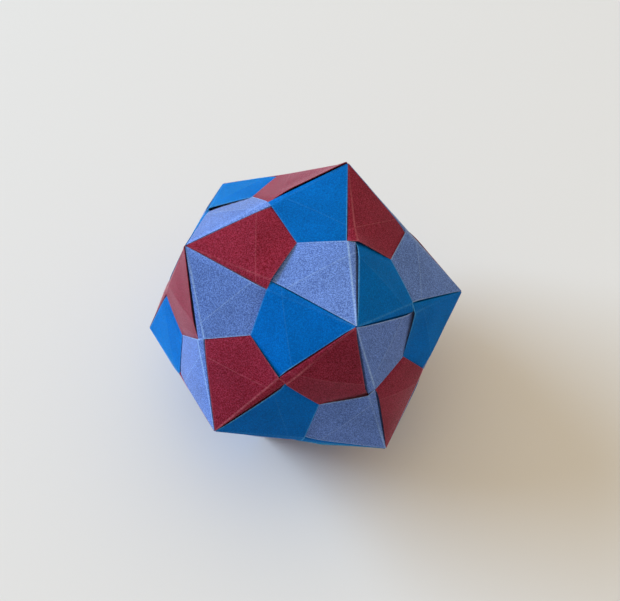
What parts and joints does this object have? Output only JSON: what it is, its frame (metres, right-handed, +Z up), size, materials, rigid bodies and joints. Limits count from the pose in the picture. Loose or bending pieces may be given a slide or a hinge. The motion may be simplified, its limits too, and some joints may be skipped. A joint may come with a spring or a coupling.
{
  "type": "kusudama paper ball",
  "caption": "Modular folded-paper ball on an icosahedron: interlocked units in blue, lavender and burgundy show kites on every face and hold each other by tabs in pockets.",
  "frame": {"origin": "middle of the triangular face that the ball rests on", "axes": "+Z up through the middle of the ball, +X towards a corner of the bottom face, +Y along a line of two-fold symmetry"},
  "size_m": [0.0922, 0.0802, 0.0756],
  "materials": {
    "blue_paper": "matte coloured paper with a fine grain",
    "lavender_paper": "matte coloured paper with a fine grain",
    "burgundy_paper": "matte coloured paper with a fine grain"
  },
  "bodies": {
    "root": {"blue_unit_01": "blue_paper", "blue_unit_02": "blue_paper", "blue_unit_03": "blue_paper", "blue_unit_04": "blue_paper", "blue_unit_05": "blue_paper", "blue_unit_06": "blue_paper", "blue_unit_07": "blue_paper", "blue_unit_08": "blue_paper", "blue_unit_09": "blue_paper", "blue_unit_10": "blue_paper", "lavender_unit_01": "lavender_paper", "lavender_unit_02": "lavender_paper", "lavender_unit_03": "lavender_paper", "lavender_unit_04": "lavender_paper", "lavender_unit_05": "lavender_paper", "lavender_unit_06": "lavender_paper", "lavender_unit_07": "lavender_paper", "lavender_unit_08": "lavender_paper", "lavender_unit_09": "lavender_paper", "lavender_unit_10": "lavender_paper", "burgundy_unit_01": "burgundy_paper", "burgundy_unit_02": "burgundy_paper", "burgundy_unit_03": "burgundy_paper", "burgundy_unit_04": "burgundy_paper", "burgundy_unit_05": "burgundy_paper", "burgundy_unit_06": "burgundy_paper", "burgundy_unit_07": "burgundy_paper", "burgundy_unit_08": "burgundy_paper", "burgundy_unit_09": "burgundy_paper", "burgundy_unit_10": "burgundy_paper"}
  },
  "joints": []
}
